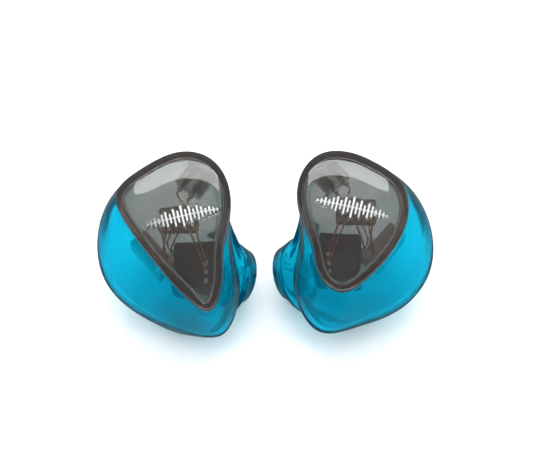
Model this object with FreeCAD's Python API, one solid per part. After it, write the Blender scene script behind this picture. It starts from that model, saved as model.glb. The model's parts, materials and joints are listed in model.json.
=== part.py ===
import FreeCAD, Part
import os
from math import cos, radians, sin, tan
from FreeCAD import Placement, Rotation, Vector

# A pair of custom-moulded in-ear monitors, one for each ear, lying side by side canal side down.
# Lengths are in millimetres and angles in degrees.
#
# Each earpiece is modelled in its own ear frame and then laid down:
#   x  forwards, towards the wearer's nose, where the ear canal stem is
#   y  up the ear
#   z  out of the ear, square to the plane where the faceplate is glued to the shell
#   origin on that seam plane, near the faceplate's middle
# Both ears are modelled as right ears. The left one is mirrored in x at the end.

# ---------------------------------------------------------------- driving dimensions

# The seam outline and the widest outline of the shell, each one clockwise from the top.
SEAM_OUTLINE = {
    "right": [(2.8, 11.1), (6.0, 9.1), (8.0, 4.9), (8.1, 0.6), (7.1, -5.2), (6.9, -11.0),
              (4.9, -15.2), (1.7, -13.3), (-3.4, -7.4), (-7.9, -1.1), (-9.8, 4.4), (-5.8, 8.6)],
    "left": [(3.5, 9.9), (7.1, 8.3), (9.2, 4.2), (8.9, -0.6), (7.0, -6.2), (5.7, -11.2),
             (2.8, -13.5), (-1.3, -11.5), (-5.6, -6.6), (-8.1, -0.6), (-7.3, 4.5), (-3.3, 7.9)],
}
BELLY_OUTLINE = {
    "right": [(1.8, 11.6), (5.2, 9.4), (7.0, 5.2), (7.6, 0.0), (8.8, -5.6), (8.8, -11.5),
              (6.2, -16.4), (0.9, -15.2), (-6.6, -12.1), (-12.2, -7.0), (-13.5, 1.6), (-10.6, 8.3)],
    "left": [(2.6, 10.8), (6.3, 8.8), (8.2, 4.6), (8.2, -0.6), (9.2, -6.4), (8.8, -12.2),
             (5.2, -17.2), (-0.6, -15.8), (-7.4, -12.8), (-12.2, -7.2), (-12.5, 1.2), (-8.8, 7.8)],
}
CANAL_TIP = {"right": Vector(9.3, -3.7, -15.3), "left": Vector(10.2, -4.6, -15.5)}
OUTLINE_BEARINGS = [82, 55, 28, 0, -28, -55, -80, -105, -138, -170, 160, 120]

BELLY_DEPTH = 7.5
SHOULDER_DEPTH = 0.4 * BELLY_DEPTH
SHOULDER_BLEND = 0.6
# Below the belly: the bowl, the root of the canal stem, and the stem, as half sizes, centre and
# tilt. The stem's centres are measured from the canal tip.
BOWL = ((10.2, 10.6), Vector(0, -2.1, -10.2), 10.0)
BOWL_BLEND = 0.35
BOWL_SHRINK = (0.93, 0.94)
BOWL_SHIFT = 0.5
STEM_ROOT = ((8.6, 8.8), Vector(2.4, -5.5, -12.3), 22.0)
STEM = [((6.4, 6.7), Vector(-3.8, -1.1, 1.9), 33.0), ((4.8, 5.2), Vector(-1.8, -0.3, 1.0), 45.0)]
CANAL_TIP_HALF = (3.7, 4.3)
CANAL_TILT = 53.0
RIM_WALL = 1.4
SHELL_WALL = 1.2
CANAL_END_WALL = 2.1
BANDS_PER_SECTION = 3

SEAM_GAP = 0.12
FACEPLATE_EDGE = 0.9
FACEPLATE_CROWN = 3.4
DOME_CENTRE = (0.3, -0.6)
DOME_POWER = 2.5
DOME_RINGS = 12
DOME_SWEEP = 87.0
# The hollow under the faceplate, as a smaller dome of its own, inside the rim.
RECESS_EDGE = 0.1
RECESS_CROWN = 1.9
RECESS_OVERCUT = 0.05

EMBLEM_CENTRE = Vector(0.9, -0.6, 0)
EMBLEM_TURN = 13.0
EMBLEM_BARS = [0.5, 0.9, 1.4, 1.0, 1.9, 2.5, 1.6, 2.9, 2.0, 3.6,
               2.0, 2.9, 1.6, 2.5, 1.9, 1.0, 1.4, 0.9, 0.5]
EMBLEM_PITCH = 0.62
EMBLEM_BAR_WIDTH = 0.26
EMBLEM_LINE_WIDTH = 0.14
EMBLEM_DEPTH = 0.25
STENCIL_HEIGHT = 10.0

# The cable socket: two contacts for 0.78 mm pins, 2.16 mm apart.
# Its mouth's bearing from straight up the ear, its distance out, and its shift across.
SOCKET_BEARING = {"right": 37.0, "left": 42.0}
SOCKET_REACH = {"right": 10.9, "left": 11.0}
SOCKET_SIDE_SHIFT = {"right": -3.0, "left": -2.0}
SOCKET_Z = -3.3
SOCKET_SIZE = (4.6, 5.2, 2.3)
SOCKET_CORNER = 0.5
SOCKET_COLLAR = 0.6
SOCKET_COLLAR_DEPTH = 3.0
PIN_PITCH = 2.16
PIN_BORE_RADIUS = 0.40
PIN_BORE_LENGTH = 4.2
SLEEVE_RADIUS = 0.65
SLEEVE_LENGTH = 4.8
TAIL_RADIUS = 0.25
TAIL_LENGTH = 0.9

WOOFER_CENTRE = Vector(2.6, -6.6, 0)
WOOFER_SIZE = (7.0, 7.4)
WOOFER_TOP = -2.3
WOOFER_BOTTOM = -6.3
CASE_WALL = 0.3
CASE_CORNER = 0.8
REED_Z = -4.6
REED_SIZE = (1.3, 6.0, 0.2)
REED_PIVOT_Y = -9.6
REED_ROOT = 0.3
REED_ROLL_RADIUS = 0.2
MAGNET_SIZE = (2.0, 1.8, 0.4)
MAGNET_FROM_REED_TIP = 0.5
YOKE_WALL = 0.6
COIL_SIZE = (3.2, 2.0, 2.2)
COIL_WINDOW = (1.8, 0.8)
DIAPHRAGM_SIZE = (6.0, 6.2, 0.08)
DIAPHRAGM_Z = -2.93
DIAPHRAGM_ROOT = 0.2
DIAPHRAGM_CORNER = 0.6
DRIVE_PIN_RADIUS = 0.09
DRIVE_PIN_FROM_REED_TIP = 0.2
TERMINAL_X = 1.8
TERMINAL_ROWS = [0.1, -1.4, -2.8]
TERMINAL_BOARD = (1.8, 4.6, 0.15)
TERMINAL_CORNER = 0.3

MID_CENTRE = Vector(-4.4, -4.4, -4.0)
MID_TURN = -50.0
MID_SIZE = (7.6, 3.0, 2.7)
MID_CORNER = 0.5
MID_SPOUT_FROM_END = 1.4
MID_PADS_FROM_END = 0.9
MID_PAD_PITCH = 1.4
TWEETER_SIZE = (4.6, 2.6, 2.0)
TWEETER_CORNER = 0.4
TWEETER_PAD_PITCH = 1.2

TUBE_RADIUS = 0.9
TUBE_BEND = 1.6
TUBE_BORE_RADIUS = 0.6
TUBE_RECESS = 0.4
SPOUT_LENGTH = 1.0
SPOUT_BORE_RADIUS = 0.35
DAMPER_LENGTH = 1.4
DAMPER_BORE_RADIUS = 0.42
DAMPER_SCREEN = 0.15
DAMPER_INSET = 1.0
DAMPED_TUBES = ("woofer", "mid")
# Where each sound bore leaves the canal tip: across the tip plane, and up the ear.
BORE_PLACE = {"woofer": (-0.8, -1.9), "mid": (-0.8, 1.5), "tweeter": (1.4, 0.6)}
WOOFER_BORE_RUN = 5.0
MID_BORE_RUN = 6.5
TWEETER_BORE_RUN = 5.9
MID_TUBE_DROP = 4.2

BOARD_CENTRE = Vector(-0.4, 1.8, -4.6)
BOARD_SIZE = (6.4, 4.4, 0.6)
BOARD_CORNER = 0.6
CAPACITOR_SIZE = (1.6, 0.8, 0.8)
RESISTOR_SIZE = (1.0, 0.5, 0.35)
CAPACITOR_PLACES = [(-1.9, 1.0), (-1.9, -0.6)]
RESISTOR_PLACES = [(0.2, 1.0), (0.2, 0.0)]
FEED_PADS = [(2.3, 0.1), (2.3, 1.3)]
BOARD_PADS = {"woofer": (2.5, 1.5), "tweeter": (0.5, -0.5), "mid": (-1.5, -2.5)}
BOARD_PAD_Y = -1.6

WIRE_RADIUS = 0.14
WIRE_BEND = 0.5
WIRE_LIFT = 0.25
TWEETER_WIRE_RISE = 1.0
TWEETER_RISER_X = (-1.5, -2.1)
SOLDER_RADIUS = 0.45

# How far a cutting solid runs past the face it cuts.
OVERRUN = 1.0

# How each earpiece lies: the faceplate leans towards the front of the pair and a little outwards.
LEAN_FORWARD = 13.0
LEAN_OUTWARD = 3.5
REST_PLACE = {"right": Vector(-13.9, -0.7, 0), "left": Vector(13.9, 0.7, 0)}


# ---------------------------------------------------------------- shared shapes

def closed_wire(points):
    """A smooth closed curve through the points."""
    curve = Part.BSplineCurve()
    curve.interpolate(Points=points, PeriodicFlag=True)
    return Part.Wire(curve.toShape())


def flat_points(outline, z, scale=1.0, centre=(0.0, 0.0)):
    """The outline's points at height z, scaled about a centre."""
    return [Vector(centre[0] + scale * (x - centre[0]), centre[1] + scale * (y - centre[1]), z)
            for x, y in outline]


def oval(half_x, half_y):
    """An ellipse with one point for each point of the outlines."""
    return [(half_x * cos(radians(b)), half_y * sin(radians(b))) for b in OUTLINE_BEARINGS]


def blend(outline_a, outline_b, share_b):
    """The outline part of the way from one outline to another."""
    return [(ax + share_b * (bx - ax), ay + share_b * (by - ay))
            for (ax, ay), (bx, by) in zip(outline_a, outline_b)]


def inset(outline, distance):
    """The outline pulled in by a distance at right angles to itself."""
    count = len(outline)
    pulled = []
    for index, (x, y) in enumerate(outline):
        before = outline[index - 1]
        after = outline[(index + 1) % count]
        along = Vector(after[0] - before[0], after[1] - before[1], 0).normalize()
        pulled.append((x + distance * along.y, y - distance * along.x))
    return pulled


def tilted_points(outline, centre, tilt):
    """The outline in a plane that faces down at tilt 0 and turns forwards as it tilts."""
    return [centre + Vector(x * cos(radians(tilt)), y, x * sin(radians(tilt))) for x, y in outline]


def smooth_skin(sections):
    """A closed skin over the sections, with extra ones in between so that it runs smoothly."""
    stations = [tilted_points(*section) for section in sections]
    padded = [stations[0]] + stations + [stations[-1]]
    rows = []
    for before, start, end, after in zip(padded, padded[1:], padded[2:], padded[3:]):
        for band in range(BANDS_PER_SECTION):
            t = band / BANDS_PER_SECTION
            rows.append([between(*four, t) for four in zip(before, start, end, after)])
    rows.append(stations[-1])
    return Part.makeLoft([closed_wire(row) for row in rows], True, False)


def between(before, start, end, after, t):
    """A point on the smooth curve from start to end, which heads on to its neighbours."""
    return (start * 2 + (end - before) * t + (before * 2 - start * 5 + end * 4 - after) * t ** 2
            + (start * 3 - before - end * 3 + after) * t ** 3) * 0.5


def box_at(centre, size, corner=0.0):
    """A box about its centre, its upright edges rounded if a corner radius is given."""
    box = Part.makeBox(*size, centre - Vector(*size) * 0.5)
    if corner:
        upright = [e for e in box.Edges if abs(e.tangentAt(e.FirstParameter).z) > 0.9]
        box = box.makeFillet(corner, upright)
    return box


def bend_path(points, radius):
    """Straight runs between the points, joined by tangent arcs of one radius."""
    edges = []
    start = points[0]
    for before, corner, after in zip(points, points[1:], points[2:]):
        into = (corner - before).normalize()
        out = (after - corner).normalize()
        turn = into.getAngle(out)
        setback = radius * tan(turn / 2)
        arc_start = corner - into * setback
        arc_end = corner + out * setback
        to_centre = (out - into).normalize()
        middle = corner + to_centre * (radius / cos(turn / 2) - radius)
        edges.append(Part.LineSegment(start, arc_start).toShape())
        edges.append(Part.Arc(arc_start, middle, arc_end).toShape())
        start = arc_end
    edges.append(Part.LineSegment(start, points[-1]).toShape())
    return Part.Wire(edges)


def rod_along(points, radius, bend):
    """A round rod along a bent path."""
    path = bend_path(points, bend)
    circle = Part.Circle(points[0], points[1] - points[0], radius)
    return path.makePipeShell([Part.Wire(circle.toShape())], True, False)


def pipe_along(points, radius, bore_radius, bend):
    """A round tube along a bent path."""
    return rod_along(points, radius, bend).cut(rod_along(points, bore_radius, bend))


def cylinder_from(start, direction, radius, length):
    return Part.makeCylinder(radius, length, start, direction)


# ---------------------------------------------------------------- shell and faceplate

def shell_sections(ear):
    """The shell's outlines from the seam plane to the canal tip, each with its centre and tilt."""
    seam = SEAM_OUTLINE[ear]
    belly = BELLY_OUTLINE[ear]
    tip = CANAL_TIP[ear]
    shrink_x, shrink_y = BOWL_SHRINK
    shrunk = [(shrink_x * x + BOWL_SHIFT, shrink_y * y) for x, y in belly]
    bowl_half, bowl_centre, bowl_tilt = BOWL
    root_half, root_centre, root_tilt = STEM_ROOT
    sections = [
        (seam, Vector(0, 0, 0), 0.0),
        (blend(seam, belly, SHOULDER_BLEND), Vector(0, 0, -SHOULDER_DEPTH), 0.0),
        (belly, Vector(0, 0, -BELLY_DEPTH), 0.0),
        (blend(shrunk, oval(*bowl_half), BOWL_BLEND), bowl_centre, bowl_tilt),
        (oval(*root_half), root_centre, root_tilt),
    ]
    sections += [(oval(*half), tip + offset, tilt) for half, offset, tilt in STEM]
    return sections + [(oval(*CANAL_TIP_HALF), tip, CANAL_TILT)]


def canal_axes():
    """The directions at the canal tip: out along the canal, and across it away from the floor."""
    out = Vector(sin(radians(CANAL_TILT)), 0, -cos(radians(CANAL_TILT)))
    across = Vector(cos(radians(CANAL_TILT)), 0, sin(radians(CANAL_TILT)))
    return out, across


def bore_mouth(ear, driver):
    """Where a driver's sound bore meets the canal tip's end face."""
    across_by, up_by = BORE_PLACE[driver]
    return CANAL_TIP[ear] + canal_axes()[1] * across_by + Vector(0, up_by, 0)


def socket_frame(ear):
    """The middle of the socket's mouth, the way the plug leaves, and the way the pins are spaced."""
    bearing = radians(SOCKET_BEARING[ear])
    out = Vector(sin(bearing), cos(bearing), 0)
    side = Vector(cos(bearing), -sin(bearing), 0)
    mouth = out * SOCKET_REACH[ear] + side * SOCKET_SIDE_SHIFT[ear] + Vector(0, 0, SOCKET_Z)
    return mouth, out, side


def socket_block(ear, width, depth, height, proud=0.0):
    """A rounded block that runs into the shell from the socket's mouth."""
    mouth, out, side = socket_frame(ear)
    block = box_at(Vector(0, 0, 0), (width, height, depth + proud), SOCKET_CORNER)
    turn = Rotation(side, Vector(0, 0, 1), out, "ZXY")
    block.Placement = Placement(mouth - out * (0.5 * (depth - proud)), turn)
    return block


def make_shell(ear):
    sections = shell_sections(ear)
    outside = smooth_skin(sections)
    walls = [RIM_WALL] + [SHELL_WALL] * (len(sections) - 2)
    cavity = smooth_skin([(inset(line, wall), centre, tilt)
                          for wall, (line, centre, tilt) in zip(walls, sections)])
    width, _, height = SOCKET_SIZE
    collar_size = (width + 2 * SOCKET_COLLAR, SOCKET_COLLAR_DEPTH, height + 2 * SOCKET_COLLAR)
    shell = outside.fuse(socket_block(ear, *collar_size)).cut(cavity)
    shell = shell.cut(socket_block(ear, *SOCKET_SIZE, proud=OVERRUN))
    out = canal_axes()[0]
    reach = CANAL_END_WALL + OVERRUN
    for driver in BORE_PLACE:
        start = bore_mouth(ear, driver) - out * reach
        shell = shell.cut(cylinder_from(start, out, TUBE_RADIUS, reach + OVERRUN))
    return shell


def make_seam_bond(ear):
    """The thin line of cured adhesive between the shell's rim and the faceplate."""
    outline = SEAM_OUTLINE[ear]
    whole = Part.Face(closed_wire(flat_points(outline, 0)))
    hole = Part.Face(closed_wire(flat_points(inset(outline, RIM_WALL), 0)))
    return whole.cut(hole).extrude(Vector(0, 0, SEAM_GAP))


def dome(outline, edge_height, crown_height, base):
    """A pillow on an outline: an upright edge that rolls over into a shallow crown."""
    rings = []
    for step in range(DOME_RINGS + 1):
        sweep = radians(DOME_SWEEP * step / DOME_RINGS)
        scale = cos(sweep) ** (2 / DOME_POWER)
        rise = (crown_height - edge_height) * sin(sweep) ** (2 / DOME_POWER)
        points = flat_points(outline, base + edge_height + rise, scale, DOME_CENTRE)
        rings.append(closed_wire(points))
    edge = Part.Face(closed_wire(flat_points(outline, base))).extrude(Vector(0, 0, edge_height))
    return edge.fuse(Part.makeLoft(rings, True, False))


def emblem_stencil():
    """A sound wave: rounded upright bars on one thin line, as a tall solid to cut with."""
    span = EMBLEM_PITCH * (len(EMBLEM_BARS) - 1)
    stencil = box_at(Vector(0, 0, 0), (span, EMBLEM_LINE_WIDTH, STENCIL_HEIGHT))
    for index, height in enumerate(EMBLEM_BARS):
        centre = Vector(EMBLEM_PITCH * index - span / 2, 0, 0)
        size = (EMBLEM_BAR_WIDTH, height, STENCIL_HEIGHT)
        stencil = stencil.fuse(box_at(centre, size, 0.49 * EMBLEM_BAR_WIDTH))
    stencil.Placement = Placement(EMBLEM_CENTRE, Rotation(Vector(0, 0, 1), EMBLEM_TURN))
    return stencil


def make_faceplate_and_emblem(ear):
    outline = SEAM_OUTLINE[ear]
    outside = dome(outline, FACEPLATE_EDGE, FACEPLATE_CROWN, SEAM_GAP)
    recess_base = SEAM_GAP - RECESS_OVERCUT
    recess = dome(inset(outline, RIM_WALL), RECESS_EDGE, RECESS_CROWN, recess_base)
    sunk = outside.copy()
    sunk.translate(Vector(0, 0, -EMBLEM_DEPTH))
    emblem = outside.common(emblem_stencil()).cut(sunk)
    return outside.cut(recess).cut(emblem), emblem


# ---------------------------------------------------------------- cable socket

def make_socket(ear):
    """The socket's body, and two tubular contacts, each with a solder tail at its inner end."""
    mouth, out, side = socket_frame(ear)
    body = socket_block(ear, *SOCKET_SIZE)
    contacts = []
    for sign in (-1, 1):
        centre = mouth + side * (sign * PIN_PITCH / 2)
        sleeve = cylinder_from(centre - out * SLEEVE_LENGTH, out, SLEEVE_RADIUS, SLEEVE_LENGTH)
        tail_start = centre - out * (SLEEVE_LENGTH + TAIL_LENGTH)
        contact = sleeve.fuse(cylinder_from(tail_start, out, TAIL_RADIUS, TAIL_LENGTH))
        body = body.cut(contact)
        bore_start = centre - out * PIN_BORE_LENGTH
        pin_bore = cylinder_from(bore_start, out, PIN_BORE_RADIUS, PIN_BORE_LENGTH)
        contacts.append(contact.cut(pin_bore))
    return {"socket_body": body, "socket_contacts": Part.makeCompound(contacts)}


def tail_ends(ear):
    mouth, out, side = socket_frame(ear)
    inner = mouth - out * (SLEEVE_LENGTH + TAIL_LENGTH)
    return [inner + side * (sign * PIN_PITCH / 2) for sign in (-1, 1)]


# ---------------------------------------------------------------- woofer

def woofer_point(x, y, z):
    """A point given from the middle of the woofer, at an ear-frame height."""
    return Vector(WOOFER_CENTRE.x + x, WOOFER_CENTRE.y + y, z)


def woofer_spout_start(ear):
    """The spout leaves the case's underside right above its tube's bend."""
    out = canal_axes()[0]
    corner = bore_mouth(ear, "woofer") - out * (TUBE_RECESS + WOOFER_BORE_RUN)
    return Vector(corner.x, corner.y, WOOFER_BOTTOM), corner


def make_woofer(ear):
    """The woofer's case and the moving-armature motor inside it."""
    length_x, length_y = WOOFER_SIZE
    depth = WOOFER_TOP - WOOFER_BOTTOM
    cup_height = depth - CASE_WALL
    cup_centre = woofer_point(0, 0, WOOFER_BOTTOM + cup_height / 2)
    cup = box_at(cup_centre, (length_x, length_y, cup_height), CASE_CORNER)
    room = (length_x - 2 * CASE_WALL, length_y - 2 * CASE_WALL, cup_height)
    cup = cup.cut(box_at(cup_centre + Vector(0, 0, CASE_WALL), room, CASE_CORNER - CASE_WALL))
    spout_top = woofer_spout_start(ear)[0]
    down = Vector(0, 0, -1)
    cup = cup.fuse(cylinder_from(spout_top, down, TUBE_BORE_RADIUS, SPOUT_LENGTH))
    drill_top = spout_top + Vector(0, 0, CASE_WALL)
    cup = cup.cut(cylinder_from(drill_top, down, SPOUT_BORE_RADIUS, SPOUT_LENGTH + CASE_WALL))
    lid_centre = woofer_point(0, 0, WOOFER_TOP - CASE_WALL / 2)
    lid = box_at(lid_centre, (length_x, length_y, CASE_WALL), CASE_CORNER)

    reed_middle_y = REED_PIVOT_Y - REED_ROOT + REED_SIZE[1] / 2
    reed = box_at(Vector(WOOFER_CENTRE.x, reed_middle_y, REED_Z), REED_SIZE)
    roll_start = Vector(WOOFER_CENTRE.x - REED_SIZE[0] / 2, REED_PIVOT_Y, REED_Z)
    reed = reed.fuse(cylinder_from(roll_start, Vector(1, 0, 0), REED_ROLL_RADIUS, REED_SIZE[0]))
    reed_tip_y = reed_middle_y + REED_SIZE[1] / 2
    pin_y = reed_tip_y - DRIVE_PIN_FROM_REED_TIP
    pin_foot = Vector(WOOFER_CENTRE.x, pin_y, REED_Z + REED_SIZE[2] / 2)
    pin_height = DIAPHRAGM_Z - DIAPHRAGM_SIZE[2] / 2 - pin_foot.z
    drive_pin = cylinder_from(pin_foot, Vector(0, 0, 1), DRIVE_PIN_RADIUS, pin_height)
    diaphragm_y = REED_PIVOT_Y - DIAPHRAGM_ROOT + DIAPHRAGM_SIZE[1] / 2
    diaphragm_centre = Vector(WOOFER_CENTRE.x, diaphragm_y, DIAPHRAGM_Z)
    diaphragm = box_at(diaphragm_centre, DIAPHRAGM_SIZE, DIAPHRAGM_CORNER)

    floor_z = WOOFER_BOTTOM + CASE_WALL
    half_height = REED_Z - floor_z
    magnet_y = reed_tip_y - MAGNET_FROM_REED_TIP - MAGNET_SIZE[1] / 2
    magnet_reach = half_height - YOKE_WALL
    motor_centre = Vector(WOOFER_CENTRE.x, magnet_y, REED_Z)
    yoke_size = (MAGNET_SIZE[0] + 2 * YOKE_WALL, MAGNET_SIZE[1], 2 * half_height)
    window = (MAGNET_SIZE[0], MAGNET_SIZE[1] + OVERRUN, 2 * magnet_reach)
    yoke = box_at(motor_centre, yoke_size).cut(box_at(motor_centre, window))
    magnets = []
    for sign in (-1, 1):
        lift = Vector(0, 0, sign * (magnet_reach - MAGNET_SIZE[2] / 2))
        magnets.append(box_at(motor_centre + lift, MAGNET_SIZE))
    coil_centre = motor_centre - Vector(0, (MAGNET_SIZE[1] + COIL_SIZE[1]) / 2, 0)
    coil_hole = (COIL_WINDOW[0], COIL_SIZE[1] + OVERRUN, COIL_WINDOW[1])
    coil = box_at(coil_centre, COIL_SIZE).cut(box_at(coil_centre, coil_hole))

    return {
        "woofer_case": cup, "woofer_lid": lid, "woofer_reed": reed, "woofer_drive_pin": drive_pin,
        "woofer_diaphragm": diaphragm, "woofer_yoke": yoke,
        "woofer_magnets": Part.makeCompound(magnets), "woofer_coil": coil,
    }


def terminal_dots():
    """The woofer's three solder dots, in a row up the front of its lid."""
    return [woofer_point(TERMINAL_X, y, WOOFER_TOP + TERMINAL_BOARD[2]) for y in TERMINAL_ROWS]


def make_terminals(lid):
    """A thin terminal board on the lid, and the solder dots on it."""
    dots = terminal_dots()
    board = box_at(dots[1] - Vector(0, 0, TERMINAL_BOARD[2] / 2), TERMINAL_BOARD, TERMINAL_CORNER)
    return {"woofer_terminals": board, "woofer_solder": solder_beads(dots, [board, lid])}


def solder_beads(centres, neighbours):
    """A bead of solder at each centre, cut back to what it sits on."""
    beads = Part.makeCompound([Part.makeSphere(SOLDER_RADIUS, centre) for centre in centres])
    for neighbour in neighbours:
        beads = beads.cut(neighbour)
    return beads


# ---------------------------------------------------------------- mid driver and tweeter

def mid_placement():
    return Placement(MID_CENTRE, Rotation(Vector(0, 0, 1), MID_TURN))


def mid_spout_start():
    """The spout is under the mid driver, at its upper end."""
    x = MID_SPOUT_FROM_END - MID_SIZE[0] / 2
    return mid_placement().multVec(Vector(x, 0, -MID_SIZE[2] / 2))


def make_mid():
    body = box_at(Vector(0, 0, 0), MID_SIZE, MID_CORNER)
    body.Placement = mid_placement()
    start = mid_spout_start()
    down = Vector(0, 0, -1)
    body = body.fuse(cylinder_from(start, down, TUBE_BORE_RADIUS, SPOUT_LENGTH))
    return body.cut(cylinder_from(start, down, SPOUT_BORE_RADIUS, SPOUT_LENGTH))


def mid_pads():
    """The mid driver's two terminals, on its top face at its lower end."""
    x = MID_SIZE[0] / 2 - MID_PADS_FROM_END
    places = [Vector(x, sign * MID_PAD_PITCH / 2, MID_SIZE[2] / 2) for sign in (-1, 1)]
    return [mid_placement().multVec(place) for place in places]


def tweeter_front(ear):
    """The middle of the tweeter's front end, where its spout is."""
    out = canal_axes()[0]
    return bore_mouth(ear, "tweeter") - out * (TUBE_RECESS + TWEETER_BORE_RUN)


def make_tweeter(ear):
    out, across = canal_axes()
    front = tweeter_front(ear)
    length, width, height = TWEETER_SIZE
    body = box_at(Vector(0, 0, 0), (width, height, length), TWEETER_CORNER)
    turn = Rotation(Vector(0, 1, 0), across, out, "ZXY")
    body.Placement = Placement(front - out * (length / 2), turn)
    body = body.fuse(cylinder_from(front, out, TUBE_BORE_RADIUS, SPOUT_LENGTH))
    return body.cut(cylinder_from(front, out, SPOUT_BORE_RADIUS, SPOUT_LENGTH))


def tweeter_pads(ear):
    """The tweeter's two terminals, on its back end."""
    back = tweeter_front(ear) - canal_axes()[0] * TWEETER_SIZE[0]
    return [back + Vector(0, sign * TWEETER_PAD_PITCH / 2, 0) for sign in (-1, 1)]


# ---------------------------------------------------------------- sound tubes and dampers

def tube_routes(ear):
    """Each tube's points, from its driver's spout to just inside the canal tip."""
    out = canal_axes()[0]
    ends = {driver: bore_mouth(ear, driver) - out * TUBE_RECESS for driver in BORE_PLACE}
    woofer_start, woofer_corner = woofer_spout_start(ear)
    mid_start = mid_spout_start()
    mid_corner = ends["mid"] - out * MID_BORE_RUN
    mid_drop = mid_start - Vector(0, 0, MID_TUBE_DROP)
    return {
        "woofer": [woofer_start, woofer_corner, ends["woofer"]],
        "mid": [mid_start, mid_drop, mid_corner, ends["mid"]],
        "tweeter": [tweeter_front(ear), ends["tweeter"]],
    }


def make_tube(route):
    return pipe_along(route, TUBE_RADIUS, TUBE_BORE_RADIUS, TUBE_BEND)


def make_damper(ear, driver):
    """A ferrule pressed into the tube, with a fine screen near its outer end."""
    out = canal_axes()[0]
    start = bore_mouth(ear, driver) - out * (TUBE_RECESS + DAMPER_INSET + DAMPER_LENGTH)
    ferrule = cylinder_from(start, out, TUBE_BORE_RADIUS, DAMPER_LENGTH)
    return ferrule.cut(cylinder_from(start, out, DAMPER_BORE_RADIUS, DAMPER_LENGTH - DAMPER_SCREEN))


# ---------------------------------------------------------------- crossover and wiring

def board_point(x, y):
    return BOARD_CENTRE + Vector(x, y, BOARD_SIZE[2] / 2)


def make_crossover():
    """The circuit board with its capacitors and resistors."""
    parts = {"crossover_board": box_at(BOARD_CENTRE, BOARD_SIZE, BOARD_CORNER)}
    for name, size, places in (("capacitors", CAPACITOR_SIZE, CAPACITOR_PLACES),
                               ("resistors", RESISTOR_SIZE, RESISTOR_PLACES)):
        lift = Vector(0, 0, size[2] / 2)
        parts[name] = Part.makeCompound([box_at(board_point(*p) + lift, size) for p in places])
    return parts


def lifted(point, z):
    return Vector(point.x, point.y, z)


def wire_routes(ear, pads):
    """Each wire's points, in three groups. They run from their pads up, across and down."""
    out = socket_frame(ear)[1]
    canal_out = canal_axes()[0]
    socket_wires = [[tail, tail - out, lifted(pad, tail.z), pad]
                    for tail, pad in zip(tail_ends(ear), pads["feed"])]
    dot_z = WOOFER_TOP + TERMINAL_BOARD[2] + WIRE_LIFT
    woofer_wires = [[pad, lifted(pad, dot_z), lifted(dot, dot_z)]
                    for pad, dot in zip(pads["woofer"], terminal_dots())]
    driver_wires = []
    for pad, end in zip(pads["mid"], mid_pads()):
        run_z = end.z + WIRE_LIFT
        driver_wires.append([pad, lifted(pad, run_z), lifted(end, run_z)])
    for pad, end, x in zip(pads["tweeter"], tweeter_pads(ear), TWEETER_RISER_X):
        behind = end - canal_out
        foot = Vector(x, end.y, behind.z)
        run_z = pad.z + TWEETER_WIRE_RISE
        driver_wires.append([end, behind, foot, lifted(foot, run_z), lifted(pad, run_z), pad])
    return {"socket_wires": socket_wires, "woofer_wires": woofer_wires,
            "driver_wires": driver_wires}


def make_wires(routes, solder):
    """One wire for each route, ending in its beads of solder."""
    return Part.makeCompound([rod_along(r, WIRE_RADIUS, WIRE_BEND).cut(solder) for r in routes])


# ---------------------------------------------------------------- one earpiece

def build_earpiece(ear):
    """Every piece of one earpiece in the ear frame, by name."""
    pieces = {"shell": make_shell(ear), "seam_bond": make_seam_bond(ear)}
    pieces["faceplate"], pieces["emblem"] = make_faceplate_and_emblem(ear)
    pieces.update(make_socket(ear))
    pieces.update(make_woofer(ear))
    pieces.update(make_terminals(pieces["woofer_lid"]))
    pieces.update(make_crossover())
    drivers = {"woofer": pieces["woofer_case"], "mid": make_mid(), "tweeter": make_tweeter(ear)}
    pieces["mid_driver"] = drivers["mid"]
    pieces["tweeter"] = drivers["tweeter"]
    for driver, route in tube_routes(ear).items():
        pieces[driver + "_tube"] = make_tube(route).cut(drivers[driver])
    pieces["dampers"] = Part.makeCompound([make_damper(ear, d) for d in DAMPED_TUBES])

    pads = {group: [board_point(x, BOARD_PAD_Y) for x in places]
            for group, places in BOARD_PADS.items()}
    pads["feed"] = [board_point(x, y) for x, y in FEED_PADS]
    board_pads = [pad for group in pads.values() for pad in group]
    joint_places = tail_ends(ear) + board_pads + mid_pads() + tweeter_pads(ear)
    joined = [pieces[n] for n in ("socket_contacts", "crossover_board", "mid_driver", "tweeter")]
    pieces["solder_joints"] = solder_beads(joint_places, joined)
    solder = pieces["solder_joints"].fuse(pieces["woofer_solder"])
    for name, routes in wire_routes(ear, pads).items():
        pieces[name] = make_wires(routes, solder)
    return pieces


def lay_down(shape, ear):
    """Turn a piece from the ear frame to the way its earpiece lies, at the pair's spacing."""
    lean = Rotation(Vector(1, 0, 0), LEAN_FORWARD) * Rotation(Vector(0, 1, 0), -LEAN_OUTWARD)
    laid = shape.copy()
    laid.transformShape(Placement(Vector(0, 0, 0), lean).toMatrix())
    if ear == "left":
        laid = laid.mirror(Vector(0, 0, 0), Vector(1, 0, 0))
    laid.translate(REST_PLACE[ear])
    return laid


def main():
    os.makedirs("parts", exist_ok=True)
    laid = {}
    for ear in ("right", "left"):
        pieces = {name: lay_down(shape, ear) for name, shape in build_earpiece(ear).items()}
        drop = Vector(0, 0, -pieces["shell"].optimalBoundingBox(False).ZMin)
        for name, shape in pieces.items():
            shape.translate(drop)
            laid[ear + "_" + name] = shape
    pair = Part.makeCompound(list(laid.values())).optimalBoundingBox(False)
    to_middle = Vector(-pair.Center.x, -pair.Center.y, 0)
    for name, shape in laid.items():
        shape.translate(to_middle)
        shape.exportStep("parts/" + name + ".step")


main()
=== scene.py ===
import json
import math

import bmesh
import bpy
from mathutils import Matrix, Vector

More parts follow.
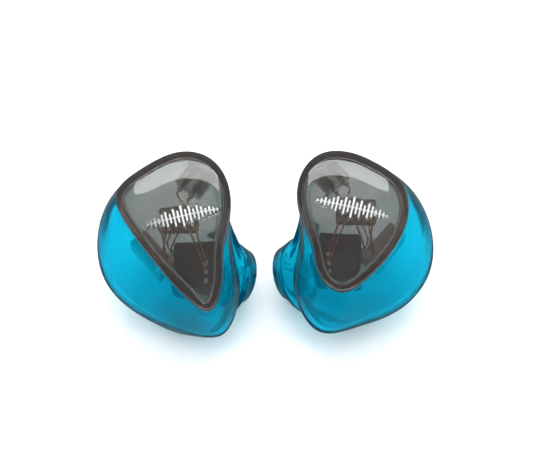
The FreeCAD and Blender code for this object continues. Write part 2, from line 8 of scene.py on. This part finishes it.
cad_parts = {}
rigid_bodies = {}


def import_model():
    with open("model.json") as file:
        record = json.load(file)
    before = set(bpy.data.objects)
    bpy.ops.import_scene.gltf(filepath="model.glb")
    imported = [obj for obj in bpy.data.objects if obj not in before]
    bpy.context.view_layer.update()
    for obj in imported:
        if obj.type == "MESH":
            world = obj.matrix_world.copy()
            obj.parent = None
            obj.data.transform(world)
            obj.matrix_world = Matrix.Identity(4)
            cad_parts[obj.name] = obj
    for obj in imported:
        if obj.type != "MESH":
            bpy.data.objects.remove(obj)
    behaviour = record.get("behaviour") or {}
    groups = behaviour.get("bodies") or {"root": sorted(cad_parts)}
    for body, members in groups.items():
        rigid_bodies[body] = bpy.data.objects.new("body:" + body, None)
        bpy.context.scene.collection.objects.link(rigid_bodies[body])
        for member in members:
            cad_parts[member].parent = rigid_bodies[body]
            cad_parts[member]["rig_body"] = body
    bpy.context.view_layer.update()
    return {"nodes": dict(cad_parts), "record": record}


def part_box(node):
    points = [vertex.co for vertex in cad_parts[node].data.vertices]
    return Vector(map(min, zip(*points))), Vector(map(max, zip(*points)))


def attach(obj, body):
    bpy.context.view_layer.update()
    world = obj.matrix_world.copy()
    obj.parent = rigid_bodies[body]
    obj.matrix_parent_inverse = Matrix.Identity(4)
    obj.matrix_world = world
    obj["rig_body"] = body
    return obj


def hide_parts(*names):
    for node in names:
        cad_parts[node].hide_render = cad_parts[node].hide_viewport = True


# A pair of custom-moulded in-ear monitors lying canal side down on a white table.
# Lengths are in metres unless a name ends in MM.

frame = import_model()
scene = bpy.context.scene
EARS = ("right", "left")
MM = 0.001

# ---------------------------------------------------------------- camera, light and floor

CAMERA_ELEVATION = math.radians(55)
CAMERA_DISTANCE = 0.4
CAMERA_TARGET = Vector((0.743, 3.835, 10.0)) * MM
SENSOR_WIDTH_MM = 36.0
VIEW_WIDTH = 0.0864
NEAR_CLIP = 0.01

BACKDROP_STRENGTH = 1.1
ROOM_STRENGTH = 0.2
WHITE = (1, 1, 1, 1)
SOFTBOX_PLACE = (0, 0.25, 0.43)
SOFTBOX_SIZE = (0.5, 0.16)
SOFTBOX_RADIANCE = 7.0
FILL_ANGLE = math.radians(75)
# Each soft fill light: its name, its tilt about x and y in degrees, and its strength.
FILLS = [("fill_front", 38, 0, 1.6), ("fill_right", -8, 38, 1.5), ("fill_left", -8, -38, 1.5)]
FLOOR_RADIUS = 3.0
FLOOR_SEGMENTS = 96


def set_stage():
    """Camera at the pair's front, a white table, a softbox behind the pair and three soft fills.

    The fills light the table and the pair but don't show in the glossy resin, and neither does
    the table, so that the shells keep their deep colour.
    """
    camera_data = bpy.data.cameras.new("camera")
    camera_data.sensor_width = SENSOR_WIDTH_MM
    camera_data.lens = SENSOR_WIDTH_MM * CAMERA_DISTANCE / VIEW_WIDTH
    camera_data.clip_start = NEAR_CLIP
    camera = bpy.data.objects.new("camera", camera_data)
    back = Vector((0, -math.cos(CAMERA_ELEVATION), math.sin(CAMERA_ELEVATION)))
    camera.location = CAMERA_TARGET + back * CAMERA_DISTANCE
    camera.rotation_euler = back.to_track_quat("Z", "Y").to_euler()
    scene.collection.objects.link(camera)
    scene.camera = camera

    set_surroundings()
    scene.view_settings.view_transform = "Standard"
    add_softbox("softbox_back", SOFTBOX_PLACE, SOFTBOX_SIZE, SOFTBOX_RADIANCE)
    for name, tilt_x, tilt_y, strength in FILLS:
        light = bpy.data.lights.new(name, "SUN")
        light.energy = strength
        light.angle = FILL_ANGLE
        lamp = bpy.data.objects.new(name, light)
        lamp.rotation_euler = (math.radians(tilt_x), math.radians(tilt_y), 0)
        lamp.visible_glossy = False
        scene.collection.objects.link(lamp)

    mesh = bpy.data.meshes.new("table_top")
    shape = bmesh.new()
    bmesh.ops.create_circle(
        shape, cap_ends=True, segments=FLOOR_SEGMENTS, radius=FLOOR_RADIUS)
    shape.to_mesh(mesh)
    shape.free()
    floor = bpy.data.objects.new("table_top", mesh)
    floor.visible_glossy = False
    scene.collection.objects.link(floor)
    surface = Nodes("table_top")
    speckle = surface.noise(scale=30, detail=2)
    shade = surface.ramp(speckle, [(0.0, (0.94, 0.94, 0.94)), (1.0, (0.97, 0.97, 0.97))])
    surface.principled({"Base Color": shade, "Roughness": 0.9, "Specular IOR Level": 0.0})
    mesh.materials.append(surface.material)


def set_surroundings():
    """A white backdrop behind the table, and a dim studio around it that lights the pair."""
    world = bpy.data.worlds.new("surroundings")
    world.use_nodes = True
    tree = world.node_tree
    room = tree.nodes["Background"]
    room.inputs["Color"].default_value = WHITE
    room.inputs["Strength"].default_value = ROOM_STRENGTH
    backdrop = tree.nodes.new("ShaderNodeBackground")
    backdrop.inputs["Strength"].default_value = BACKDROP_STRENGTH
    backdrop.inputs["Color"].default_value = WHITE
    ray = tree.nodes.new("ShaderNodeLightPath")
    choice = tree.nodes.new("ShaderNodeMixShader")
    tree.links.new(ray.outputs["Is Camera Ray"], choice.inputs["Fac"])
    tree.links.new(room.outputs[0], choice.inputs[1])
    tree.links.new(backdrop.outputs[0], choice.inputs[2])
    tree.links.new(choice.outputs[0], tree.nodes["World Output"].inputs["Surface"])
    scene.world = world


def add_softbox(name, place, size, radiance):
    """A rectangular light at a place, facing the pair, of an even radiance."""
    light = bpy.data.lights.new(name, "AREA")
    light.shape = "RECTANGLE"
    light.size, light.size_y = size
    light.energy = radiance * math.pi * size[0] * size[1]
    lamp = bpy.data.objects.new(name, light)
    lamp.location = place
    lamp.rotation_euler = Vector(place).to_track_quat("Z", "Y").to_euler()
    scene.collection.objects.link(lamp)


# ---------------------------------------------------------------- materials

class Nodes:
    """A material under construction. A value given to an input is a number, a colour or a socket."""

    def __init__(self, name):
        self.material = bpy.data.materials.new(name)
        self.material.use_nodes = True
        self.tree = self.material.node_tree
        self.tree.nodes.clear()
        self.place = self.add("ShaderNodeTexCoord").outputs["Object"]

    def add(self, kind, inputs=None, **settings):
        node = self.tree.nodes.new(kind)
        for key, value in settings.items():
            setattr(node, key, value)
        for key, value in (inputs or {}).items():
            self.feed(node.inputs[key], value)
        return node

    def feed(self, socket, value):
        if isinstance(value, bpy.types.NodeSocket):
            self.tree.links.new(value, socket)
        elif isinstance(value, tuple) and len(value) == 3 and len(socket.default_value) == 4:
            socket.default_value = (*value, 1.0)
        else:
            socket.default_value = value

    def noise(self, scale, detail, distortion=0.0):
        inputs = {"Vector": self.place, "Scale": scale, "Detail": detail, "Roughness": 0.5,
                  "Distortion": distortion}
        return self.add("ShaderNodeTexNoise", inputs).outputs["Fac"]

    def ramp(self, value, stops):
        node = self.add("ShaderNodeValToRGB", {"Fac": value})
        elements = node.color_ramp.elements
        while len(elements) < len(stops):
            elements.new(0.5)
        for element, (position, colour) in zip(elements, stops):
            element.position = position
            element.color = (*colour, 1.0)
        return node.outputs["Color"]

    def spread(self, value, low, high):
        inputs = {"Value": value, "To Min": low, "To Max": high}
        return self.add("ShaderNodeMapRange", inputs).outputs["Result"]

    def bump(self, height, strength, distance):
        inputs = {"Height": height, "Strength": strength, "Distance": distance}
        return self.add("ShaderNodeBump", inputs).outputs["Normal"]

    def principled(self, inputs):
        shader = self.add("ShaderNodeBsdfPrincipled", inputs).outputs[0]
        self.finish(shader)
        return shader

    def finish(self, shader):
        output = self.tree.nodes.get("output")
        if output is None:
            output = self.add("ShaderNodeOutputMaterial")
            output.name = "output"
        self.tree.links.new(shader, output.inputs["Surface"])

    def first_skin(self, dye_and_edge_shade, resin):
        """The given colour where this surface is the first one seen (on the shell, its dyed colour
        with the painted edge shade), and plain resin behind another.
        """
        depth = self.add("ShaderNodeLightPath").outputs["Transmission Depth"]
        behind = self.add("ShaderNodeMath", {0: depth, 1: 0.5}, operation="GREATER_THAN")
        node = self.add("ShaderNodeMix", data_type="RGBA")
        for index, value in ((0, behind.outputs[0]), (6, dye_and_edge_shade), (7, resin)):
            self.feed(node.inputs[index], value)
        return node.outputs[2]

    def absorb(self, colour, density):
        """Light fades in this colour along its way through the solid."""
        volume = self.add("ShaderNodeVolumeAbsorption", {"Color": colour, "Density": density})
        self.tree.links.new(volume.outputs[0], self.tree.nodes["output"].inputs["Volume"])

    def let_light_through(self, shader, tint, share):
        """Shadow rays pass through in the tint, so that the inside is lit as it is through resin."""
        clear = self.add("ShaderNodeBsdfTransparent", {"Color": tint}).outputs[0]
        is_shadow = self.add("ShaderNodeLightPath").outputs["Is Shadow Ray"]
        amount = self.add("ShaderNodeMath", {0: is_shadow, 1: share}, operation="MULTIPLY")
        self.finish(self.add("ShaderNodeMixShader", {0: amount.outputs[0], 1: shader, 2: clear})
                    .outputs[0])


ACRYLIC_IOR = 1.49
TUBE_IOR = 1.42
FINE_RELIEF = 0.1 * MM
# Painted shade: the dark teal that the shell's colour is mixed towards where its wall is seen edge on.
EDGE_SHADE_COLOUR = (0.0001, 0.07, 0.13)
PLAIN_RESIN = (0.93, 0.93, 0.93)


def make_materials():
    """The materials by the record's slot names."""
    made = {}

    # Painted shade: where the wall is seen edge on, the dye is mixed towards a dark teal. This stands
    # in for the dark band along the outline that refraction and reflection give.
    blue = Nodes("blue_acrylic")
    cloud = blue.noise(scale=120, detail=2)
    dye_and_edge_shade = blue.ramp(cloud, [(0.3, (0.0001, 0.42, 0.86)), (0.75, (0.0003, 0.5, 0.95))])
    facing = blue.add("ShaderNodeLayerWeight", {"Blend": 0.5}).outputs["Facing"]
    edge = blue.add("ShaderNodeMapRange", {"Value": facing, "From Min": 0.45, "From Max": 0.85})
    deep = blue.add("ShaderNodeMix", data_type="RGBA")
    for index, value in ((0, edge.outputs[0]), (6, dye_and_edge_shade), (7, EDGE_SHADE_COLOUR)):
        blue.feed(deep.inputs[index], value)
    # From here on this colour holds the dye together with the painted edge shade.
    dye_and_edge_shade = deep.outputs[2]
    polish = blue.noise(scale=1500, detail=2)
    shader = blue.principled({
        "Base Color": blue.first_skin(dye_and_edge_shade, PLAIN_RESIN),
        "Roughness": blue.spread(polish, 0.02, 0.06), "IOR": ACRYLIC_IOR, "Transmission Weight": 0.9,
        "Specular Tint": (0.05, 0.8, 1.0), "Normal": blue.bump(polish, 0.03, FINE_RELIEF)})
    blue.let_light_through(shader, (0.97, 0.98, 0.98), 0.95)
    blue.absorb((0.5, 0.79, 0.81), 1000)
    made["blue_acrylic"] = blue

    smoke = Nodes("smoke_acrylic")
    cloud = smoke.noise(scale=160, detail=3, distortion=0.6)
    tint = smoke.ramp(cloud, [(0.3, (0.51, 0.50, 0.50)), (0.75, (0.61, 0.595, 0.59))])
    polish = smoke.noise(scale=1500, detail=2)
    shader = smoke.principled({
        "Base Color": tint, "Roughness": smoke.spread(polish, 0.02, 0.05), "IOR": ACRYLIC_IOR,
        "Transmission Weight": 0.97, "Normal": smoke.bump(polish, 0.02, FINE_RELIEF)})
    smoke.let_light_through(shader, (0.86, 0.85, 0.84), 0.93)
    smoke.absorb((0.5, 0.47, 0.45), 1000)
    made["smoke_acrylic"] = smoke

    def plain(name, colours, roughness, metallic=0.0):
        """An opaque material with a fine grain in its colour, gloss and relief."""
        graph = Nodes(name)
        grain = graph.noise(scale=600, detail=4)
        colour = graph.ramp(grain, [(0.3, colours[0]), (0.7, colours[1])])
        inputs = {"Base Color": colour, "Roughness": graph.spread(grain, *roughness),
                  "Metallic": metallic, "Normal": graph.bump(grain, 0.1, FINE_RELIEF)}
        graph.principled(inputs)
        made[name] = graph

    plain("emblem_silver", [(0.74, 0.74, 0.74), (0.88, 0.88, 0.88)], (0.3, 0.45), metallic=0.85)
    plain("gold_contact", [(0.78, 0.5, 0.16), (0.9, 0.66, 0.3)], (0.15, 0.3), metallic=1.0)
    plain("solder", [(0.8, 0.8, 0.78), (0.93, 0.93, 0.92)], (0.12, 0.25), metallic=0.3)
    plain("terminal_board", [(0.012, 0.012, 0.012), (0.03, 0.03, 0.03)], (0.4, 0.6))
    plain("circuit_board", [(0.26, 0.23, 0.19), (0.36, 0.32, 0.27)], (0.3, 0.5))
    plain("board_trace", [(0.4, 0.34, 0.26), (0.52, 0.44, 0.34)], (0.25, 0.4))
    plain("capacitor_ceramic", [(0.35, 0.24, 0.14), (0.5, 0.36, 0.22)], (0.4, 0.6))
    plain("resistor_black", [(0.015, 0.015, 0.018), (0.04, 0.04, 0.045)], (0.3, 0.5))
    plain("black_case", [(0.01, 0.01, 0.011), (0.022, 0.022, 0.024)], (0.35, 0.5), metallic=0.4)
    plain("nickel_iron", [(0.4, 0.38, 0.35), (0.56, 0.54, 0.5)], (0.25, 0.45), metallic=1.0)
    plain("copper_wire", [(0.6, 0.22, 0.09), (0.8, 0.34, 0.15)], (0.2, 0.35), metallic=1.0)
    plain("diaphragm_film", [(0.7, 0.7, 0.7), (0.85, 0.85, 0.85)], (0.2, 0.35), metallic=1.0)
    plain("steel_case", [(0.5, 0.48, 0.46), (0.64, 0.62, 0.6)], (0.35, 0.5), metallic=0.35)
    plain("damper", [(0.7, 0.66, 0.55), (0.85, 0.82, 0.74)], (0.4, 0.6))

    bond = Nodes("bond_line")
    streak = bond.noise(scale=500, detail=3)
    shader = bond.principled({
        "Base Color": bond.ramp(streak, [(0.3, (0.62, 0.5, 0.46)), (0.7, (0.74, 0.62, 0.58))]),
        "Roughness": bond.spread(streak, 0.1, 0.2), "IOR": ACRYLIC_IOR, "Transmission Weight": 0.9})
    bond.let_light_through(shader, (0.8, 0.75, 0.72), 0.9)
    bond.absorb((0.5, 0.22, 0.16), 2500)
    made["bond_line"] = bond

    socket = Nodes("smoke_plastic")
    flow = socket.noise(scale=300, detail=2)
    shader = socket.principled({
        "Base Color": socket.ramp(flow, [(0.3, (0.6, 0.58, 0.55)), (0.7, (0.7, 0.68, 0.65))]),
        "Roughness": socket.spread(flow, 0.06, 0.14), "IOR": ACRYLIC_IOR, "Transmission Weight": 0.95})
    socket.let_light_through(shader, (0.85, 0.83, 0.81), 0.9)
    socket.absorb((0.6, 0.57, 0.55), 300)
    made["smoke_plastic"] = socket

    tube = Nodes("clear_tube")
    haze = tube.noise(scale=400, detail=2)
    shader = tube.principled({
        "Base Color": tube.ramp(haze, [(0.3, (0.85, 0.9, 0.9)), (0.7, (0.95, 0.97, 0.97))]),
        "Roughness": tube.spread(haze, 0.1, 0.2), "IOR": TUBE_IOR, "Transmission Weight": 0.7})
    tube.let_light_through(shader, (0.9, 0.93, 0.93), 0.8)
    made["clear_tube"] = tube
    return {name: graph.material for name, graph in made.items()}


# ---------------------------------------------------------------- pieces from the CAD nodes

WELD_DISTANCE = 1e-6
NODE_SHARP_FROM = math.radians(35)
SHARP_FROM = math.radians(50)
SOFTEN_FROM = math.radians(40)
SHELL_VOXEL = 0.2 * MM
ROUGH_POLISH = 4
FINE_POLISH = 4
# How far the skin of a part that touches resin on all sides is moved out.
GROWTH = {"emblem": 0.012 * MM, "seam_bond": -0.015 * MM, "socket_contacts": -0.005 * MM}


def add_piece(name, mesh, node, slot_materials):
    """A smooth-shaded piece that stands for a CAD node and moves with its body."""
    mesh.materials.clear()
    for material in slot_materials:
        mesh.materials.append(material)
    piece = bpy.data.objects.new(name, mesh)
    scene.collection.objects.link(piece)
    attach(piece, frame["nodes"][node]["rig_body"])
    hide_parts(node)
    return piece


def welded_copy(node):
    """A copy of a CAD node's mesh, with its facets joined into one skin."""
    mesh = frame["nodes"][node].data.copy()
    shape = bmesh.new()
    shape.from_mesh(mesh)
    bmesh.ops.remove_doubles(shape, verts=shape.verts, dist=WELD_DISTANCE)
    shape.to_mesh(mesh)
    shape.free()
    return mesh


def apply_modifiers(piece):
    """The piece's mesh becomes what its modifiers make of it."""
    bpy.context.view_layer.update()
    shown = piece.evaluated_get(bpy.context.evaluated_depsgraph_get())
    finished = bpy.data.meshes.new_from_object(shown)
    piece.modifiers.clear()
    piece.data = finished


def smooth_piece(node, material):
    """The node's own shape, shaded smoothly up to its sharp edges.

    A part that is set into resin or lies between two layers of it is grown or shrunk a little,
    so that no two surfaces lie in one place.
    """
    mesh = welded_copy(node)
    kind = node.split("_", 1)[1]
    if kind in GROWTH:
        steps = [vertex.normal * GROWTH[kind] for vertex in mesh.vertices]
        for vertex, step in zip(mesh.vertices, steps):
            vertex.co += step
    mesh.shade_smooth()
    mesh.set_sharp_from_angle(angle=NODE_SHARP_FROM)
    return add_piece(node + "_piece", mesh, node, [material])


def add_polish(piece, rounds):
    """Evens out the skin, as rounds of hand polishing do."""
    polish = piece.modifiers.new("polish", "SMOOTH")
    polish.factor = 0.5
    polish.iterations = rounds


def softened_piece(node, material, edge):
    """The node's own shape with its edges rounded over by a small radius."""
    piece = smooth_piece(node, material)
    bevel = piece.modifiers.new("rounded_edges", "BEVEL")
    bevel.width = edge
    bevel.segments = 3
    bevel.limit_method = "ANGLE"
    bevel.angle_limit = SOFTEN_FROM
    bevel.use_clamp_overlap = True
    apply_modifiers(piece)
    piece.data.shade_smooth()
    return piece


def cast_piece(node, material):
    """The node's shape as one even skin, polished by hand so that every edge is a little round."""
    piece = smooth_piece(node, material)
    guide = bpy.data.objects.new("guide", piece.data.copy())
    scene.collection.objects.link(guide)
    remesh = piece.modifiers.new("even_skin", "REMESH")
    remesh.mode = "VOXEL"
    remesh.voxel_size = SHELL_VOXEL
    add_polish(piece, ROUGH_POLISH)
    fit = piece.modifiers.new("fit", "SHRINKWRAP")
    fit.wrap_method = "NEAREST_SURFACEPOINT"
    fit.target = guide
    add_polish(piece, FINE_POLISH)
    apply_modifiers(piece)
    bpy.data.objects.remove(guide)
    piece.data.shade_smooth()
    return piece


# ---------------------------------------------------------------- small parts made in detail

# How the right ear's axes lean from the table's. The left ear's are their mirror image.
LEAN_FORWARD = math.radians(13.0)
LEAN_OUTWARD = math.radians(3.5)
LEAN = Matrix.Rotation(LEAN_FORWARD, 4, "X") @ Matrix.Rotation(-LEAN_OUTWARD, 4, "Y")
BOARD_SIZE = Vector((6.4, 4.4, 0.6)) * MM
BOARD_CORNER = 0.6 * MM
BOARD_EDGE = 0.05 * MM
PAD_SIZE = Vector((0.8, 0.95, 0.04)) * MM
PAD_CORNER = 0.12 * MM
PAD_EDGE = 0.01 * MM
TRACE_WIDTH = 0.14 * MM
TRACE_THICKNESS = 0.03 * MM
TRACE_OVERLAP = 0.1 * MM
TRACE_CORNER = 0.06 * MM
TRACE_EDGE = 0.008 * MM
# The middles of pads and traces lie this far above the board's top.
SURFACE_LIFT = 0.01 * MM
BOARD_PADS_MM = [(2.5, -1.6), (1.5, -1.6), (0.5, -1.6), (-0.5, -1.6), (-1.5, -1.6), (-2.5, -1.6),
                 (2.3, 0.1), (2.3, 1.3)]
TRACES_MM = [[(2.3, 1.3), (-1.2, 1.5), (-1.2, 1.0)], [(2.3, 0.1), (1.2, 0.4), (0.8, 1.0)],
             [(-0.3, 1.0), (-1.2, 0.2), (-1.2, -0.6)], [(-2.6, 1.0), (-2.9, 0.2), (-2.6, -0.6)],
             [(2.5, -1.6), (2.3, -0.8), (0.8, 0.0)], [(1.5, -1.6), (1.2, -1.0), (-0.2, -0.9)],
             [(0.5, -1.6), (0.1, -1.1), (-0.9, -1.1)], [(-2.5, -1.6), (-2.6, -1.1)]]
CAPACITOR_SIZE = Vector((1.6, 0.8, 0.8)) * MM
CAPACITOR_PLACES_MM = [(-1.9, 1.0), (-1.9, -0.6)]
RESISTOR_SIZE = Vector((1.0, 0.5, 0.35)) * MM
RESISTOR_PLACES_MM = [(0.2, 1.0), (0.2, 0.0)]
CHIP_CORNER = 0.05 * MM
CHIP_BODY_EDGE = 0.03 * MM
CHIP_CAP_EDGE = 0.04 * MM
CHIP_BODY_INSET = Vector((0.04, 0.04, 0.04)) * MM
CAPACITOR_CAP_LENGTH = 0.35 * MM
RESISTOR_CAP_LENGTH = 0.22 * MM


def local_frame(ear, node):
    """The ear's own axes, set at the middle of one of its nodes. The left ear is mirrored."""
    low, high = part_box(node)
    mirror = Matrix.Scale(-1 if ear == "left" else 1, 4, (1, 0, 0))
    return Matrix.Translation((low + high) / 2) @ mirror @ LEAN


def add_slab(shape, centre, size, corner, edge, slot=0, steps=5):
    """A slab with rounded corners and softened edges, added to a mesh under construction."""
    half = Vector(size) / 2
    outline = []
    for quarter, (side_x, side_y) in enumerate(((1, 1), (-1, 1), (-1, -1), (1, -1))):
        for step in range(steps + 1):
            turn = math.radians(90 * (quarter + step / steps))
            outline.append((side_x * (half.x - corner) + corner * math.cos(turn),
                            side_y * (half.y - corner) + corner * math.sin(turn)))
    rings = []
    for height, inset in ((-half.z, edge), (-half.z + edge, 0), (half.z - edge, 0), (half.z, edge)):
        share_x, share_y = 1 - inset / half.x, 1 - inset / half.y
        rings.append([shape.verts.new(Vector((x * share_x, y * share_y, height)) + Vector(centre))
                      for x, y in outline])
    count = len(outline)
    faces = [shape.faces.new(list(reversed(rings[0]))), shape.faces.new(rings[-1])]
    for low, high in zip(rings, rings[1:]):
        faces += [shape.faces.new((low[i], low[(i + 1) % count], high[(i + 1) % count], high[i]))
                  for i in range(count)]
    for face in faces:
        face.material_index = slot


def finish_mesh(shape, name, place):
    """A smooth-shaded mesh of the shape, put in its place."""
    mesh = bpy.data.meshes.new(name)
    shape.to_mesh(mesh)
    shape.free()
    mesh.transform(place)
    if place.determinant() < 0:
        mesh.flip_normals()
    mesh.shade_smooth()
    mesh.set_sharp_from_angle(angle=SHARP_FROM)
    return mesh


def make_board(ear, materials):
    """The circuit board with its pads, and its traces as thin raised strips."""
    node = ear + "_crossover_board"
    shape = bmesh.new()
    add_slab(shape, (0, 0, 0), BOARD_SIZE, BOARD_CORNER, BOARD_EDGE)
    top = BOARD_SIZE.z / 2
    for x, y in BOARD_PADS_MM:
        pad = (x * MM, y * MM, top + SURFACE_LIFT)
        add_slab(shape, pad, PAD_SIZE, PAD_CORNER, PAD_EDGE, 1)
    for run in TRACES_MM:
        for start, end in zip(run, run[1:]):
            start, end = (Vector((*point, 0)) * MM for point in (start, end))
            along = end - start
            strip = bmesh.new()
            size = (along.length + TRACE_OVERLAP, TRACE_WIDTH, TRACE_THICKNESS)
            add_slab(strip, (0, 0, 0), size, TRACE_CORNER, TRACE_EDGE, 2, 3)
            turn = Matrix.Rotation(math.atan2(along.y, along.x), 4, "Z")
            middle = (start + end) / 2 + Vector((0, 0, top + SURFACE_LIFT))
            bmesh.ops.transform(strip, matrix=Matrix.Translation(middle) @ turn, verts=strip.verts)
            lay = bpy.data.meshes.new("trace")
            strip.to_mesh(lay)
            strip.free()
            shape.from_mesh(lay)
            bpy.data.meshes.remove(lay)
    mesh = finish_mesh(shape, node + "_piece", local_frame(ear, node))
    slots = [materials["circuit_board"], materials["gold_contact"], materials["board_trace"]]
    add_piece(node + "_piece", mesh, node, slots)


def make_chips(ear, kind, size, places, cap_length, materials, slot_name):
    """Small chips on the board: a body between two tinned end caps."""
    node = ear + "_" + kind
    shape = bmesh.new()
    for x, y in places:
        centre = Vector((x * MM, y * MM, (BOARD_SIZE.z + size.z) / 2))
        inner = size - CHIP_BODY_INSET
        add_slab(shape, centre, inner, CHIP_CORNER, CHIP_BODY_EDGE)
        for side in (-1, 1):
            shift = Vector((side * (size.x - cap_length) / 2, 0, 0))
            cap = (cap_length, size.y, size.z)
            add_slab(shape, centre + shift, cap, CHIP_CORNER, CHIP_CAP_EDGE, 1)
    mesh = finish_mesh(shape, node + "_piece", local_frame(ear, ear + "_crossover_board"))
    add_piece(node + "_piece", mesh, node, [materials[slot_name], materials["solder"]])


# ---------------------------------------------------------------- the scene

set_stage()
materials = make_materials()
slots = {part["node"]: part["material_slot"] for part in frame["record"]["subparts"]}
# How far the edges of these nodes are rounded over, in millimetres.
SOFTENED_MM = {"socket_body": 0.08, "woofer_case": 0.1, "woofer_lid": 0.08, "mid_driver": 0.12,
               "tweeter": 0.12, "woofer_terminals": 0.03, "emblem": 0.03, "woofer_magnets": 0.06,
               "woofer_yoke": 0.06, "woofer_coil": 0.08}
MADE_IN_DETAIL = ("crossover_board", "capacitors", "resistors")
for node, slot_name in slots.items():
    kind = node.split("_", 1)[1]
    material = materials[slot_name]
    if kind == "shell":
        cast_piece(node, material)
    elif kind in SOFTENED_MM:
        softened_piece(node, material, SOFTENED_MM[kind] * MM)
    elif kind not in MADE_IN_DETAIL:
        smooth_piece(node, material)
for ear in EARS:
    make_board(ear, materials)
    make_chips(ear, "capacitors", CAPACITOR_SIZE, CAPACITOR_PLACES_MM, CAPACITOR_CAP_LENGTH,
               materials, "capacitor_ceramic")
    make_chips(ear, "resistors", RESISTOR_SIZE, RESISTOR_PLACES_MM, RESISTOR_CAP_LENGTH,
               materials, "resistor_black")
